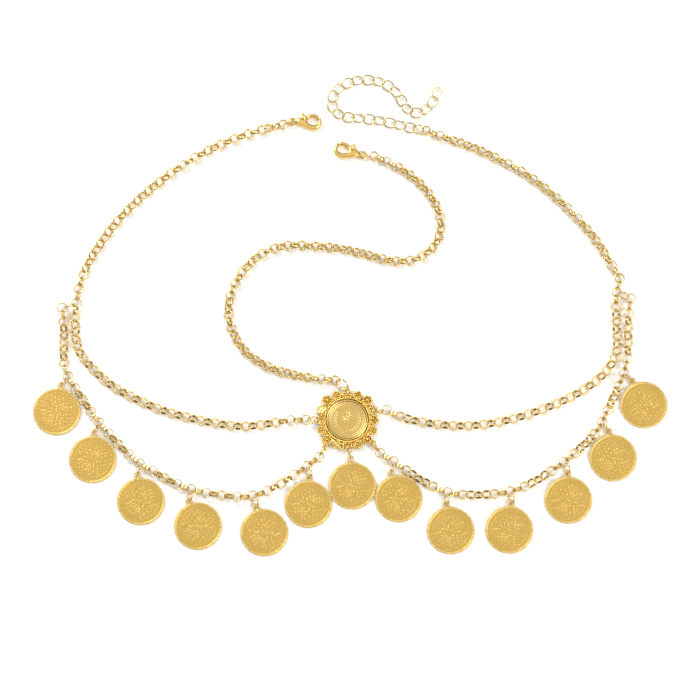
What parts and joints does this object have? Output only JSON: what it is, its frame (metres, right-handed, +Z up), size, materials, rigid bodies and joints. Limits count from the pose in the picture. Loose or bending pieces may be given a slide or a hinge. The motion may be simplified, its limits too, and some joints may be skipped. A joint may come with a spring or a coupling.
{
  "type": "kurdish coin headpiece",
  "caption": "Gold-tone chain headpiece laid flat: coins on swagged chains round a filigree medallion, a crown chain, lobster clasps and an extender chain.",
  "frame": {"origin": "centre of the flat back of the medallion, which lies on the surface", "axes": "+X to the wearer's left when worn, along the row of coins; +Y from the coins towards the clasps; +Z up out of the face of the coins"},
  "size_m": [0.2524, 0.1996, 0.0055],
  "materials": {
    "chain_metal": "polished gold-tone plating",
    "coin_metal": "gold-tone plating, sandy relief, polished high spots",
    "filigree_metal": "gold-tone plating on open wire work",
    "medallion_coin_metal": "satin gold-tone plating",
    "clasp_metal": "polished gold-tone plating"
  },
  "bodies": {
    "headpiece": {"clasp_body": "clasp_metal", "clasp_pin": "clasp_metal", "clasp_ring": "chain_metal", "coin_01": "coin_metal", "coin_02": "coin_metal", "coin_03": "coin_metal", "coin_04": "coin_metal", "coin_05": "coin_metal", "coin_06": "coin_metal", "coin_07": "coin_metal", "coin_08": "coin_metal", "coin_09": "coin_metal", "coin_10": "coin_metal", "coin_11": "coin_metal", "coin_12": "coin_metal", "coin_13": "coin_metal", "coin_chain_left": "chain_metal", "coin_chain_right": "chain_metal", "coin_ring_01": "chain_metal", "coin_ring_02": "chain_metal", "coin_ring_03": "chain_metal", "coin_ring_04": "chain_metal", "coin_ring_05": "chain_metal", "coin_ring_06": "chain_metal", "coin_ring_08": "chain_metal", "coin_ring_09": "chain_metal", "coin_ring_10": "chain_metal", "coin_ring_11": "chain_metal", "coin_ring_12": "chain_metal", "coin_ring_13": "chain_metal", "crown_chain": "chain_metal", "crown_clasp_body": "clasp_metal", "crown_clasp_pin": "clasp_metal", "crown_clasp_ring": "chain_metal", "extender_chain": "chain_metal", "extender_ring": "chain_metal", "inner_chain_left": "chain_metal", "inner_chain_right": "chain_metal", "medallion_coin": "medallion_coin_metal", "medallion_frame": "filigree_metal", "medallion_ring_bottom": "chain_metal", "medallion_ring_left": "chain_metal", "medallion_ring_lower_left": "chain_metal", "medallion_ring_lower_right": "chain_metal", "medallion_ring_right": "chain_metal", "medallion_ring_top": "chain_metal", "side_chain_left": "chain_metal", "side_chain_right": "chain_metal", "side_ring_left": "chain_metal", "side_ring_right": "chain_metal"},
    "clasp_lever": {"clasp_lever": "clasp_metal"},
    "crown_clasp_lever": {"crown_clasp_lever": "clasp_metal"}
  },
  "joints": [
    {"name": "clasp_lever_hinge", "type": "hinge", "parent": "headpiece", "child": "clasp_lever", "pos_m": [-0.01788, 0.12612, 0.0012], "axis": [0, 0, -1], "range_deg": [0, 20], "stiffness_Nm_per_rad": 0.005},
    {"name": "crown_clasp_lever_hinge", "type": "hinge", "parent": "headpiece", "child": "crown_clasp_lever", "pos_m": [0.00225, 0.11303, 0.0012], "axis": [0, 0, 1], "range_deg": [0, 20], "stiffness_Nm_per_rad": 0.005}
  ]
}
